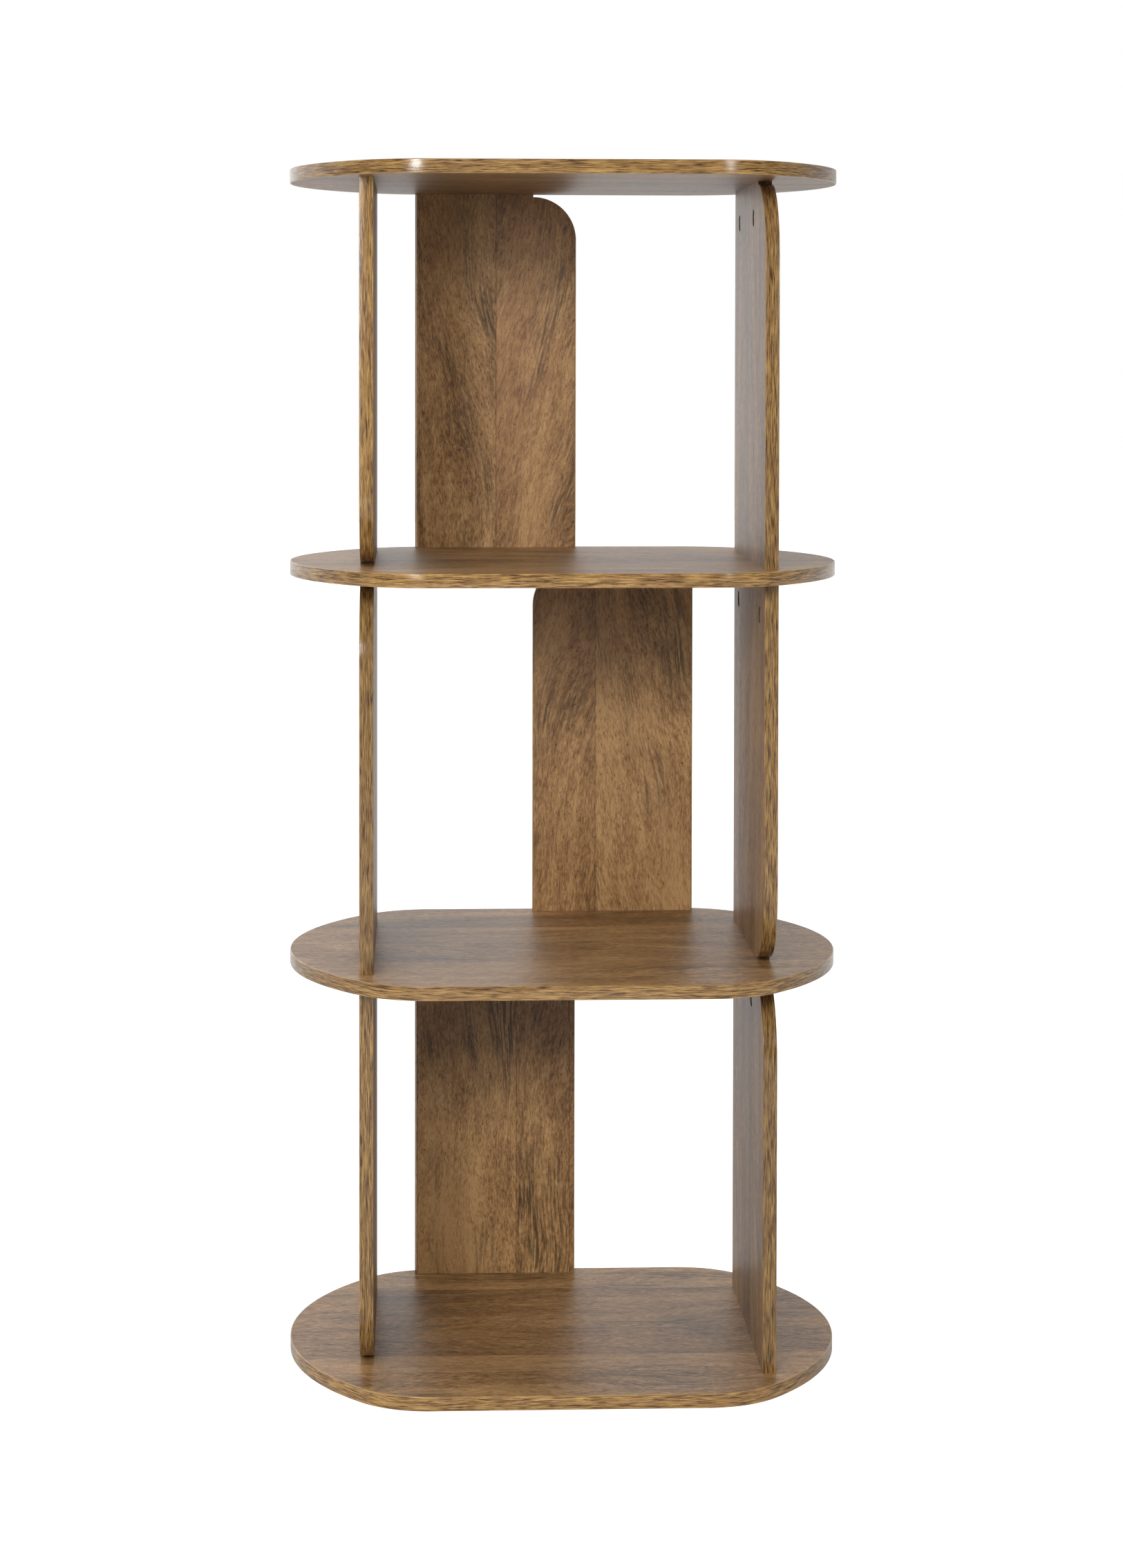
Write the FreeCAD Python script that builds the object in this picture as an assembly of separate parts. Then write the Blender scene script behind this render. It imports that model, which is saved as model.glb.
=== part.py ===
import FreeCAD, Part
import math
import os

# Shelving unit of four shelves with round ends and nine upright panels, in millimetres.
# +Z is up, the front faces -Y and +X is the viewer's right.
# The origin is the centre of the base shelf's underside.

# Boards
board = 12.0
shelf_length = 480.0  # diameter of the disc that each shelf is cut from
shelf_cut = 50.0  # cut off that disc at the front and at the rear
shelf_corner_radius = 80.0  # where the straight edges run into the round ends
tier_height = 330.0  # clear height between two shelves
shelf_overhang = 63.0  # from a side panel's outer face to the shelf's end
side_front_setback = 53.0  # from the shelves' front edge back to the side panels
side_rear_setback = 60.0  # from the side panels back to the shelves' rear edge
back_setback = 2.0  # from the back panels' rear faces to the shelves' rear edge
back_overreach = 14.0  # how far each back panel reaches past the straight part of the rear edge
back_reach = 20.0  # how far it reaches past the middle of the unit
side_corner_radius = 64.0
back_corner_radius = 40.0
corner_step = 2.5  # from a panel's end down to the start of its rounded corner

# Edge banding
band = 1.0
glue_line = 0.1  # hot-melt glue between a board's edge and its banding
band_trim = 0.6  # radius along the band's two long outer edges
band_seam = 0.2  # butt seam in the middle of a shelf's rear edge

# Cam locks in the upper end of every panel
cam_hole_diameter = 15.0
cam_hole_depth = 9.5
cam_clearance = 0.1
cam_recess = 0.3  # cam's face below the panel's face
cam_to_end = 30.0  # cam's centre below the panel's upper end
side_cam_to_edge = 42.0  # from a side panel's square edge
side_cam_to_corner = 38.0  # from the start of its rounded corner
back_cam_to_edge = 25.0
back_cam_to_corner = 25.0
cam_wall = 2.4
cam_drive_length = 6.5
cam_drive_width = 1.3
cam_drive_depth = 1.6
cam_mark_length = 2.2  # turned to point at the shelf when the cam is locked
cam_mark_width = 1.8
cam_mark_depth = 0.4

# Cam bolts, screwed up into the shelf above
bolt_head_diameter = 6.0
bolt_head_clearance = 0.2
bolt_neck_diameter = 3.2
bolt_shank_diameter = 5.0
bolt_collar_height = 1.5
bolt_collar_clearance = 0.2
bolt_bore_clearance = 0.3
bolt_thread_diameter = 5.8
bolt_core_diameter = 4.4
bolt_thread_length = 8.4
bolt_thread_pitch = 1.4

# Connecting screws, up through the shelf below
screw_length = 40.0
screw_thread_diameter = 4.0
screw_core_diameter = 2.6
screw_shank_diameter = 3.0
screw_thread_pitch = 1.9
screw_tip_length = 3.8
screw_head_diameter = 7.8
screw_head_rim = 0.4
screw_head_recess = 0.2  # head's face above the shelf's underside
screw_drive_length = 4.4
screw_drive_width = 1.0
screw_drive_depth = 1.7

# Dowels
dowel_diameter = 6.0
dowel_length = 24.0
dowel_in_shelf = 7.5
dowel_chamfer = 0.8

# Fits
thread_clearance = 0.1
dowel_clearance = 0.1
hole_end_clearance = 0.3
overrun = 1.0  # how far every cut runs past the face that it starts from

up = FreeCAD.Vector(0, 0, 1)
right = FreeCAD.Vector(1, 0, 0)
rear = FreeCAD.Vector(0, 1, 0)
middle_line = FreeCAD.Vector(0, 0, 0)  # the vertical through the shelves' centres

shelf_names = ["base_shelf", "lower_shelf", "upper_shelf", "top_shelf"]
tier_names = ["lower", "middle", "upper"]
tier_pitch = board + tier_height
shelf_radius = shelf_length / 2
half_depth = shelf_radius - shelf_cut
corner_y = half_depth - shelf_corner_radius
corner_x = math.sqrt((shelf_radius - shelf_corner_radius) ** 2 - corner_y**2)
end_angle = math.degrees(math.atan2(corner_y, corner_x))  # half of the angle that an end spans
bay_width = shelf_length - 2 * (shelf_overhang + board)
side_width = 2 * half_depth - side_front_setback - side_rear_setback
back_width = corner_x + back_overreach + back_reach
edging = band + glue_line
middle = board / 2

bolt_bore_radius = bolt_head_diameter / 2 + bolt_bore_clearance
bolt_hole_radius = bolt_thread_diameter / 2 + thread_clearance
dowel_hole_radius = dowel_diameter / 2 + dowel_clearance
screw_hole_radius = screw_thread_diameter / 2 + thread_clearance
screw_seat_radius = screw_head_diameter / 2 + thread_clearance


class Panel:
    """One upright board.

    u runs from its straight edge to its rounded edge, z up from the shelf below, and t from the
    face that holds the cams through to the other face.
    """

    def __init__(self, name, tier, origin, across, through, rounded_end, shape):
        self.name = name
        self.tier = tier
        self.origin = origin
        self.across = across
        self.through = through
        self.rounded_end = rounded_end
        self.width, self.radius, self.to_edge, self.to_corner = shape
        self.out_of_square_end = up if rounded_end == "top" else -up

    def at(self, u, z, t):
        return self.origin + self.across * u + up * z + self.through * t

    def from_square_end(self, u, distance, t):
        z = distance if self.rounded_end == "top" else tier_height - distance
        return self.at(u, z, t)

    def first_and_last(self, end):
        """The outermost fastener places along the panel's top or bottom end."""
        if end == self.rounded_end:
            return self.to_edge, self.width - self.radius - self.to_corner
        return self.to_edge, self.width - self.to_edge

    def cam_places(self):
        return self.first_and_last("top")

    def top_dowel_place(self):
        first, last = self.first_and_last("top")
        return (first + last) / 2

    def screw_places(self):
        """Between the fasteners of a like panel below, so that nothing meets inside the shelf."""
        first, last = self.first_and_last("bottom")
        half = (first + last) / 2
        return (first + half) / 2, (half + last) / 2

    def bottom_dowel_place(self):
        return self.to_edge / 2


def make_panels():
    side_shape = (side_width, side_corner_radius, side_cam_to_edge, side_cam_to_corner)
    back_shape = (back_width, back_corner_radius, back_cam_to_edge, back_cam_to_corner)
    panels = []
    for tier, tier_name in enumerate(tier_names):
        floor = board + tier * tier_pitch
        even = tier % 2 == 0
        for side, outward in (("left", -right), ("right", right)):
            rounded_end = "bottom" if (side == "left") == even else "top"
            origin = outward * (bay_width / 2) + rear * (half_depth - side_rear_setback)
            name = f"{tier_name}_{side}_panel"
            place = (origin + up * floor, -rear, outward)
            panels.append(Panel(name, tier, *place, rounded_end, side_shape))
        toward_middle = right if even else -right
        origin = toward_middle * (back_reach - back_width) + rear * (half_depth - back_setback)
        name = f"{tier_name}_back_panel"
        place = (origin + up * floor, toward_middle, -rear)
        panels.append(Panel(name, tier, *place, "top", back_shape))
    return panels


def line(start, end):
    return Part.LineSegment(start, end).toShape()


def arc(start, via, end):
    return Part.Arc(start, via, end).toShape()


def polyline(points):
    return [line(a, b) for a, b in zip(points, points[1:])]


def rod(radius, length, base, direction):
    return Part.makeCylinder(radius, length, base, direction)


def bar(centre, length_along, length, width_along, width, depth_along, depth):
    """A box centred on `centre` in length and width, which reaches `depth` from it."""
    corner = centre - length_along * (length / 2) - width_along * (width / 2)
    sides = [length_along * length, width_along * width]
    corners = [corner, corner + sides[0], corner + sides[0] + sides[1], corner + sides[1], corner]
    return Part.Face(Part.makePolygon(corners)).extrude(depth_along * depth)


def turned(profile, base):
    """A solid of revolution about the vertical through `base`.

    The profile is a list of (radius, height) points that starts and ends on the axis.
    """
    points = [base + right * radius + up * height for radius, height in profile]
    face = Part.Face(Part.Wire(polyline(points + points[:1])))
    return face.revolve(base, up, 360)


def thread(core, major, start, length, pitch):
    """Points of a ringed thread that fills `length` from the height `start`."""
    turns = max(1, int(length / pitch))
    step = length / turns
    points = []
    for turn in range(turns):
        foot = start + turn * step
        points += [(core, foot), (major, foot + step / 2)]
    return points + [(core, start + length)]


def bearing(angle):
    """Unit vector in plan, at an angle in degrees from +X towards the rear."""
    turn = math.radians(angle)
    return right * math.cos(turn) + rear * math.sin(turn)


def shelf_arcs():
    """Centre, radius, start and swept angle of each arc round a shelf, from the front right."""
    front_corner = right * corner_x - rear * corner_y
    rear_corner = right * corner_x + rear * corner_y
    corner_sweep = 90 - end_angle
    right_end = [
        (front_corner, shelf_corner_radius, -90, corner_sweep),
        (middle_line, shelf_radius, -end_angle, 2 * end_angle),
        (rear_corner, shelf_corner_radius, end_angle, corner_sweep),
    ]
    left_end = [(-centre, radius, start + 180, sweep) for centre, radius, start, sweep in right_end]
    return right_end + left_end


def shelf_outline(inset, height):
    """Outline of a shelf, drawn in by `inset`, at a height."""
    edges = []
    for centre, radius, start, sweep in shelf_arcs():
        angles = (start, start + sweep / 2, start + sweep)
        points = [centre + bearing(angle) * (radius - inset) + up * height for angle in angles]
        edges.append(arc(*points))
    rear_line = line(edges[2].Vertexes[-1].Point, edges[3].Vertexes[0].Point)
    front_line = line(edges[5].Vertexes[-1].Point, edges[0].Vertexes[0].Point)
    return Part.Wire(edges[:3] + [rear_line] + edges[3:] + [front_line])


def band_section(corner, outward, along_width):
    """Cross-section of edge banding, whose glued side starts at `corner`."""
    flat = band - band_trim
    lean = band_trim * math.sqrt(2) / 2
    near = corner + outward * flat + along_width * band_trim
    far = corner + outward * flat + along_width * (board - band_trim)
    edges = [
        line(corner, corner + outward * flat),
        arc(
            corner + outward * flat,
            near + (outward - along_width) * lean,
            near + outward * band_trim,
        ),
        line(near + outward * band_trim, far + outward * band_trim),
        arc(
            far + outward * band_trim,
            far + (outward + along_width) * lean,
            far + along_width * band_trim,
        ),
        line(far + along_width * band_trim, corner + along_width * board),
        line(corner + along_width * board, corner),
    ]
    return Part.Face(Part.Wire(edges))


def shelf_band(height):
    """One strip right round a shelf, with its butt seam behind."""
    ring = []
    for centre, radius, start, sweep in shelf_arcs():
        outward = bearing(start)
        corner = centre + outward * (radius - band) + up * height
        ring.append(band_section(corner, outward, up).revolve(centre, up, sweep))
    for along, outward in ((right, -rear), (-right, rear)):
        corner = outward * (half_depth - band) - along * corner_x + up * height
        ring.append(band_section(corner, outward, up).extrude(along * (2 * corner_x)))
    strip = ring[0].fuse(ring[1:]).removeSplitter()
    seam_centre = rear * (half_depth - band) + up * (height - overrun)
    seam = bar(
        seam_centre, right, band_seam, rear, 2 * (band + overrun), up, board + 2 * overrun
    )
    return strip.cut(seam)


def shelf_board(level, panels):
    """A shelf's board, drilled for the panels that hang from it and stand on it."""
    height = level * tier_pitch
    shape = Part.Face(shelf_outline(edging, height)).extrude(up * board)
    cuts = []
    for panel in panels:
        if panel.tier == level - 1:
            for u in panel.cam_places():
                mouth = panel.at(u, tier_height - overrun, middle)
                depth = bolt_thread_length + hole_end_clearance
                cuts.append(rod(bolt_hole_radius, depth + overrun, mouth, up))
            mouth = panel.at(panel.top_dowel_place(), tier_height - overrun, middle)
            depth = dowel_in_shelf + hole_end_clearance
            cuts.append(rod(dowel_hole_radius, depth + overrun, mouth, up))
        if panel.tier == level:
            for u in panel.screw_places():
                underside = panel.at(u, -board, middle)
                cuts.append(screw_shelf_hole(underside))
            mouth = panel.at(panel.bottom_dowel_place(), overrun, middle)
            depth = dowel_in_shelf + hole_end_clearance
            cuts.append(rod(dowel_hole_radius, depth + overrun, mouth, -up))
    return shape.cut(cuts)


def screw_shelf_hole(underside):
    """Clearance hole and countersink that open in a shelf's underside."""
    cone_start = screw_head_recess + screw_head_rim
    cone_end = cone_start + screw_seat_radius - screw_hole_radius
    profile = [
        (0, -overrun),
        (screw_seat_radius, -overrun),
        (screw_seat_radius, cone_start),
        (screw_hole_radius, cone_end),
        (screw_hole_radius, board + overrun),
        (0, board + overrun),
    ]
    return turned(profile, underside)


def panel_board(panel):
    """A panel's board between its two edge bands, with the holes for its fasteners."""
    inner_radius = panel.radius - edging
    corner_u = panel.width - panel.radius
    corner_v = tier_height - corner_step - panel.radius
    lean = inner_radius * math.sqrt(2) / 2
    edge_u = panel.width - edging
    arc_start = panel.from_square_end(edge_u, corner_v, 0)
    arc_via = panel.from_square_end(corner_u + lean, corner_v + lean, 0)
    arc_end = panel.from_square_end(corner_u, corner_v + inner_radius, 0)
    first = panel.from_square_end(edging, 0, 0)
    before = [first, panel.from_square_end(edge_u, 0, 0), arc_start]
    after = [
        arc_end,
        panel.from_square_end(corner_u, tier_height, 0),
        panel.from_square_end(edging, tier_height, 0),
        first,
    ]
    edges = polyline(before) + [arc(arc_start, arc_via, arc_end)] + polyline(after)
    shape = Part.Face(Part.Wire(edges)).extrude(panel.through * board)
    return shape.cut(panel_holes(panel))


def panel_holes(panel):
    holes = []
    cam_height = tier_height - cam_to_end
    for u in panel.cam_places():
        face = panel.at(u, cam_height, -overrun)
        depth = cam_hole_depth + overrun
        holes.append(rod(cam_hole_diameter / 2, depth, face, panel.through))
        cam_centre = panel.at(u, cam_height, middle)
        holes.append(rod(bolt_bore_radius, cam_to_end + overrun, cam_centre, up))
    dowel_depth = dowel_length - dowel_in_shelf + hole_end_clearance
    mouth = panel.at(panel.top_dowel_place(), tier_height + overrun, middle)
    holes.append(rod(dowel_hole_radius, dowel_depth + overrun, mouth, -up))
    mouth = panel.at(panel.bottom_dowel_place(), -overrun, middle)
    holes.append(rod(dowel_hole_radius, dowel_depth + overrun, mouth, up))
    screw_depth = screw_head_recess + screw_length - board + hole_end_clearance
    for u in panel.screw_places():
        mouth = panel.at(u, -overrun, middle)
        holes.append(rod(screw_hole_radius, screw_depth + overrun, mouth, up))
    return holes


def round_edge_band(panel):
    """Strip from the panel's square end up its edge and round the rounded corner."""
    straight = tier_height - corner_step - panel.radius
    edge_u = panel.width - band
    start = panel.from_square_end(edge_u, 0, 0)
    section = band_section(start, panel.across, panel.through)
    run = section.extrude(panel.out_of_square_end * straight)
    corner = panel.from_square_end(edge_u, straight, 0)
    section = band_section(corner, panel.across, panel.through)
    centre = panel.from_square_end(panel.width - panel.radius, straight, 0)
    axis = panel.across.cross(panel.out_of_square_end)
    bend = section.revolve(centre, axis, 90)
    return run.fuse(bend).removeSplitter()


def straight_edge_band(panel):
    start = panel.at(band, 0, 0)
    section = band_section(start, -panel.across, panel.through)
    return section.extrude(up * tier_height)


def cam(panel, u):
    """A locked cam: cup with a screwdriver cross, open behind, which grips the bolt's ball head."""
    radius = cam_hole_diameter / 2 - cam_clearance
    height = tier_height - cam_to_end
    face = panel.at(u, height, cam_recess)
    body = rod(radius, cam_hole_depth - cam_clearance - cam_recess, face, panel.through)
    head_room = bolt_head_diameter / 2 + bolt_head_clearance
    pocket_start = middle - head_room
    pocket_depth = cam_hole_depth - pocket_start
    pocket_face = panel.at(u, height, pocket_start)
    cuts = [rod(radius - cam_wall, pocket_depth, pocket_face, panel.through)]
    reach = radius + overrun
    mouth_centre = pocket_face + panel.across * (reach / 2)
    cuts.append(
        bar(mouth_centre, panel.across, reach, up, 2 * head_room, panel.through, pocket_depth)
    )
    slot_half = bolt_neck_diameter / 2 + bolt_head_clearance
    slot_centre = panel.at(u, height, middle - slot_half) + up * (reach / 2)
    cuts.append(
        bar(slot_centre, panel.across, 2 * reach, up, reach, panel.through, 2 * slot_half)
    )
    drive_centre = panel.at(u, height, -overrun)
    drive_depth = overrun + cam_recess + cam_drive_depth
    cross = [(panel.across, up), (up, panel.across)]
    for along, side in cross:
        size = (along, cam_drive_length, side, cam_drive_width)
        cuts.append(bar(drive_centre, *size, panel.through, drive_depth))
    mark_centre = drive_centre + up * (radius - cam_mark_length / 2)
    mark_depth = overrun + cam_recess + cam_mark_depth
    mark_size = (up, cam_mark_length, panel.across, cam_mark_width)
    cuts.append(bar(mark_centre, *mark_size, panel.through, mark_depth))
    return body.cut(cuts)


def cam_bolt(panel, u):
    """Threaded in the shelf, with a collar against its underside and a ball in the cam."""
    underside = panel.at(u, tier_height, middle)
    core = bolt_core_diameter / 2
    major = bolt_thread_diameter / 2
    shank = bolt_shank_diameter / 2
    neck = bolt_neck_diameter / 2
    ball = bolt_head_diameter / 2
    collar = bolt_bore_radius - bolt_collar_clearance
    cam_rim = cam_hole_diameter / 2 - cam_clearance
    ball_lift = cam_rim - cam_wall - ball - cam_clearance
    shank_end = cam_rim + bolt_head_clearance - cam_to_end
    ball_height = ball_lift - cam_to_end
    profile = [
        (0, ball_height),
        (neck, ball_height),
        (neck, shank_end),
        (shank, shank_end),
        (shank, -bolt_collar_height),
        (collar, -bolt_collar_height),
        (collar, 0),
        *thread(core, major, 0, bolt_thread_length, bolt_thread_pitch),
        (0, bolt_thread_length),
    ]
    stem = turned(profile, underside)
    return stem.fuse(Part.makeSphere(ball, underside + up * ball_height)).removeSplitter()


def screw(panel, u):
    """Countersunk screw, from just inside the shelf's underside up into the panel."""
    head_face = panel.at(u, screw_head_recess - board, middle)
    head = screw_head_diameter / 2
    shank = screw_shank_diameter / 2
    core = screw_core_diameter / 2
    major = screw_thread_diameter / 2
    thread_start = board
    thread_length = screw_length - thread_start - screw_tip_length
    profile = [
        (0, 0),
        (head, 0),
        (head, screw_head_rim),
        (shank, screw_head_rim + head - shank),
        (shank, thread_start),
        *thread(core, major, thread_start, thread_length, screw_thread_pitch),
        (0, screw_length),
    ]
    body = turned(profile, head_face)
    drive_centre = head_face - up * overrun
    depth = screw_drive_depth + overrun
    cuts = []
    for along, side in ((panel.across, panel.through), (panel.through, panel.across)):
        size = (along, screw_drive_length, side, screw_drive_width)
        cuts.append(bar(drive_centre, *size, up, depth))
    return body.cut(cuts)


def dowel(joint, direction):
    """A dowel across a joint, with most of its length in the panel, which lies along `direction`."""
    start = joint - direction * dowel_in_shelf
    blunt = dowel_length - 2 * dowel_chamfer
    radius = dowel_diameter / 2
    tip = radius - dowel_chamfer
    points = [(0, 0), (tip, 0), (radius, dowel_chamfer)]
    points += [(radius, dowel_chamfer + blunt), (tip, dowel_length), (0, dowel_length)]
    lowest = start if direction == up else start - up * dowel_length
    return turned(points, lowest)


def export(name, shape):
    shape.exportStep(f"parts/{name}.step")
    print(name, len(shape.Solids), "solids, valid", shape.isValid(), round(shape.Volume))


os.makedirs("parts", exist_ok=True)
all_panels = make_panels()

for level, shelf_name in enumerate(shelf_names):
    export(shelf_name, shelf_board(level, all_panels))
    export(f"{shelf_name}_edge_band", shelf_band(level * tier_pitch))

for panel in all_panels:
    export(panel.name, panel_board(panel))
    export(f"{panel.name}_round_edge_band", round_edge_band(panel))
    export(f"{panel.name}_straight_edge_band", straight_edge_band(panel))

for tier, tier_name in enumerate(tier_names):
    members = [panel for panel in all_panels if panel.tier == tier]
    cams = [cam(panel, u) for panel in members for u in panel.cam_places()]
    bolts = [cam_bolt(panel, u) for panel in members for u in panel.cam_places()]
    screws = [screw(panel, u) for panel in members for u in panel.screw_places()]
    dowels = []
    for panel in members:
        top_joint = panel.at(panel.top_dowel_place(), tier_height, middle)
        bottom_joint = panel.at(panel.bottom_dowel_place(), 0, middle)
        dowels += [dowel(top_joint, -up), dowel(bottom_joint, up)]
    groups = {"cams": cams, "cam_bolts": bolts, "screws": screws, "dowels": dowels}
    for kind, solids in groups.items():
        export(f"{tier_name}_tier_{kind}", Part.makeCompound(solids))
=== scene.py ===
# %% [markdown]
# # A shelving unit of wood-effect boards
#
# The real unit is flat-pack furniture: four shelves with round ends, and nine upright panels
# between them. Every board is chipboard under a printed melamine face, and every edge is closed
# with a strip of plastic banding that has an oak print of its own.
#
# The boards, screws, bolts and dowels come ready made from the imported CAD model. This script gives
# them their finishes, and makes anew what CAD keeps plain: the banding, whose print has to run
# along each strip, and the cast cams. It works in metres, in the CAD model's own frame: +Z is up,
# the front faces -Y and +X is the viewer's right.

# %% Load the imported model
import bpy
import math
from mathutils import Matrix, Vector


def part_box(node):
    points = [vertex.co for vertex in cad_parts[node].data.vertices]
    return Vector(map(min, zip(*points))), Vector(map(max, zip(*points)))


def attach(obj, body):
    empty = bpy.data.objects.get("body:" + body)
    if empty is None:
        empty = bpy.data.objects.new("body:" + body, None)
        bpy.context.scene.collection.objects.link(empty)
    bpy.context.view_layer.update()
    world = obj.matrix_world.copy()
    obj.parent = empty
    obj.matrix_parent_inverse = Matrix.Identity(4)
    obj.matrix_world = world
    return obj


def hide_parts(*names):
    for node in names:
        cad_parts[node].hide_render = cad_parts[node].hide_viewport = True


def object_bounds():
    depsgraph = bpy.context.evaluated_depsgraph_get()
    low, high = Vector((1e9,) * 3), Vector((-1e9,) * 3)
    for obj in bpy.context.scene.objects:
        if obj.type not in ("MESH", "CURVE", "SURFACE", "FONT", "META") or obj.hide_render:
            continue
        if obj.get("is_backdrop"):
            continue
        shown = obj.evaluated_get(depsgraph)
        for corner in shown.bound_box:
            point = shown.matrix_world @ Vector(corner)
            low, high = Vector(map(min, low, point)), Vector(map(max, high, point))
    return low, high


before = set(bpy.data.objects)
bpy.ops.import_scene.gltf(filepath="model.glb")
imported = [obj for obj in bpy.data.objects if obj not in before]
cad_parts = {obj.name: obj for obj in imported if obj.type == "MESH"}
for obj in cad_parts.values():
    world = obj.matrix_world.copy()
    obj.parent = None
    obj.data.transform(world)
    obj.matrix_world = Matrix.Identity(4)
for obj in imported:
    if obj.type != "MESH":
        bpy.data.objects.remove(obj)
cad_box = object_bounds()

print("CAD box", [tuple(round(c, 4) for c in corner) for corner in cad_box])

# %% [markdown]
# ## Camera
#
# The photograph was taken from a little left of the middle and just below the top shelf, nearly
# level, with a long lens. A level camera keeps the uprights parallel, so the unit is framed by
# shifting the lens and not by tilting the camera. The numbers come from fitting the shelves' and
# panels' edges. An aimed camera would be simpler, but its uprights would lean.

# %% Place the camera
camera_place = Vector((-0.1280, -2.8978, 0.8800))
camera_turn = 0.0438  # to the right, in radians
camera_tilt = -0.0257
camera_roll = 0.0015

camera_data = bpy.data.cameras.new("camera")
camera_data.sensor_width = 36
camera_data.lens = 75.48
camera_data.shift_y = -0.2224
camera = bpy.data.objects.new("camera", camera_data)
bpy.context.collection.objects.link(camera)
heading = Vector((
    math.sin(camera_turn) * math.cos(camera_tilt),
    math.cos(camera_turn) * math.cos(camera_tilt),
    math.sin(camera_tilt),
))
aim = heading.to_track_quat("-Z", "Y").to_matrix().to_4x4()
camera.matrix_world = Matrix.Translation(camera_place) @ aim @ Matrix.Rotation(camera_roll, 4, "Z")
bpy.context.scene.camera = camera
print("camera at", tuple(camera_place), "lens", camera_data.lens)

# %% [markdown]
# ## Helpers for node trees
#
# Materials here are node trees built in code. A few small helpers keep that readable: `add` makes a
# node with its settings and inputs, `maths`, `spread`, `noise` and `blend` wrap the commonest nodes,
# and `start_group` opens a group with named inputs and outputs. A group is built once and placed in
# every material that needs it, with its own values each time.

# %% Node helpers
def srgb(red, green, blue):
    """A colour as read off a screen, 0 to 255, turned into the linear values that nodes use."""
    linear = []
    for value in (red, green, blue):
        value /= 255
        linear.append(value / 12.92 if value <= 0.04045 else ((value + 0.055) / 1.055) ** 2.4)
    return (*linear, 1)


def add(tree, kind, settings=None, **inputs):
    """A new node. Inputs are values or other nodes' outputs, named with _ for a space, or
    _0, _1 and so on where several inputs share a name."""
    node = tree.nodes.new(kind)
    for name, value in (settings or {}).items():
        setattr(node, name, value)
    for name, value in inputs.items():
        key = int(name[1:]) if name[1:].isdigit() else name.replace("_", " ")
        socket = node.inputs[key]
        if isinstance(value, bpy.types.NodeSocket):
            tree.links.new(value, socket)
        else:
            socket.default_value = value
    return node


def maths(tree, operation, *values):
    node = add(tree, "ShaderNodeMath", {"operation": operation})
    for socket, value in zip(node.inputs, values):
        if isinstance(value, bpy.types.NodeSocket):
            tree.links.new(value, socket)
        else:
            socket.default_value = value
    return node.outputs[0]


def spread(tree, value, low, high, new_low=0.0, new_high=1.0):
    """Stretch the range low to high over new_low to new_high, and clip it there."""
    node = add(tree, "ShaderNodeMapRange", Value=value, From_Min=low, From_Max=high,
               To_Min=new_low, To_Max=new_high)
    return node.outputs["Result"]


def vector(tree, x, y, z):
    return add(tree, "ShaderNodeCombineXYZ", X=x, Y=y, Z=z).outputs[0]


def noise(tree, place, scale=1.0, detail=2.0, roughness=0.5):
    node = add(tree, "ShaderNodeTexNoise", Vector=place, Scale=scale, Detail=detail,
               Roughness=roughness)
    return node.outputs["Fac"]


def blend(tree, share, first, second, mode="MIX"):
    """Mix two colours."""
    node = tree.nodes.new("ShaderNodeMix")
    node.data_type = "RGBA"
    node.blend_type = mode
    for name, value in (("Factor_Float", share), ("A_Color", first), ("B_Color", second)):
        socket = next(s for s in node.inputs if s.identifier == name)
        if isinstance(value, bpy.types.NodeSocket):
            tree.links.new(value, socket)
        else:
            socket.default_value = value
    return next(s for s in node.outputs if s.identifier == "Result_Color")


def start_group(name, inputs, outputs, kind="ShaderNodeTree"):
    """A node group, with its input and output nodes. Sockets are (name, type, default)."""
    tree = bpy.data.node_groups.new(name, kind)
    for label, socket_type, default in inputs:
        socket = tree.interface.new_socket(label, in_out="INPUT", socket_type=socket_type)
        if default is not None:
            socket.default_value = default
    for label, socket_type in outputs:
        tree.interface.new_socket(label, in_out="OUTPUT", socket_type=socket_type)
    return tree, tree.nodes.new("NodeGroupInput").outputs, tree.nodes.new("NodeGroupOutput").inputs


def place_group(tree, group, **inputs):
    node = add(tree, "ShaderNodeGroup", {"node_tree": group}, **inputs)
    return node.outputs


# %% [markdown]
# ## Wood fibres
#
# Both prints, on the faces and on the banding, are pictures of wood, and wood is long thin fibres
# that wander a little. A noise that is squeezed across the grain and stretched along it looks like
# that. It could be a picture of real wood, but noise never repeats, so each board is its own.
#
# The group takes a place on the board: across the grain, along it, and a third number that picks
# another piece of wood.

# %% Fibre group
fibre_group, given, result = start_group(
    "wood fibres",
    [
        ("Place", "NodeSocketVector", None),
        ("Width", "NodeSocketFloat", 0.001),
        ("Length", "NodeSocketFloat", 0.03),
        ("Wander", "NodeSocketFloat", 1.0),
    ],
    [("Fibres", "NodeSocketFloat"), ("Pores", "NodeSocketFloat")],
)
tree = fibre_group
part = add(tree, "ShaderNodeSeparateXYZ", Vector=given["Place"]).outputs
across = maths(tree, "DIVIDE", part["X"], given["Width"])
along = maths(tree, "DIVIDE", part["Y"], given["Length"])
slow_across = maths(tree, "MULTIPLY", across, 0.12)
slow_along = maths(tree, "MULTIPLY", along, 0.9)
slow = noise(tree, vector(tree, slow_across, slow_along, part["Z"]))
sway = maths(tree, "MULTIPLY", maths(tree, "SUBTRACT", slow, 0.5), given["Wander"])
wandered = maths(tree, "ADD", across, maths(tree, "MULTIPLY", sway, 6.0))
fibres = noise(tree, vector(tree, wandered, along, part["Z"]), detail=3.0, roughness=0.6)
tree.links.new(spread(tree, fibres, 0.3, 0.7), result["Fibres"])
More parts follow.
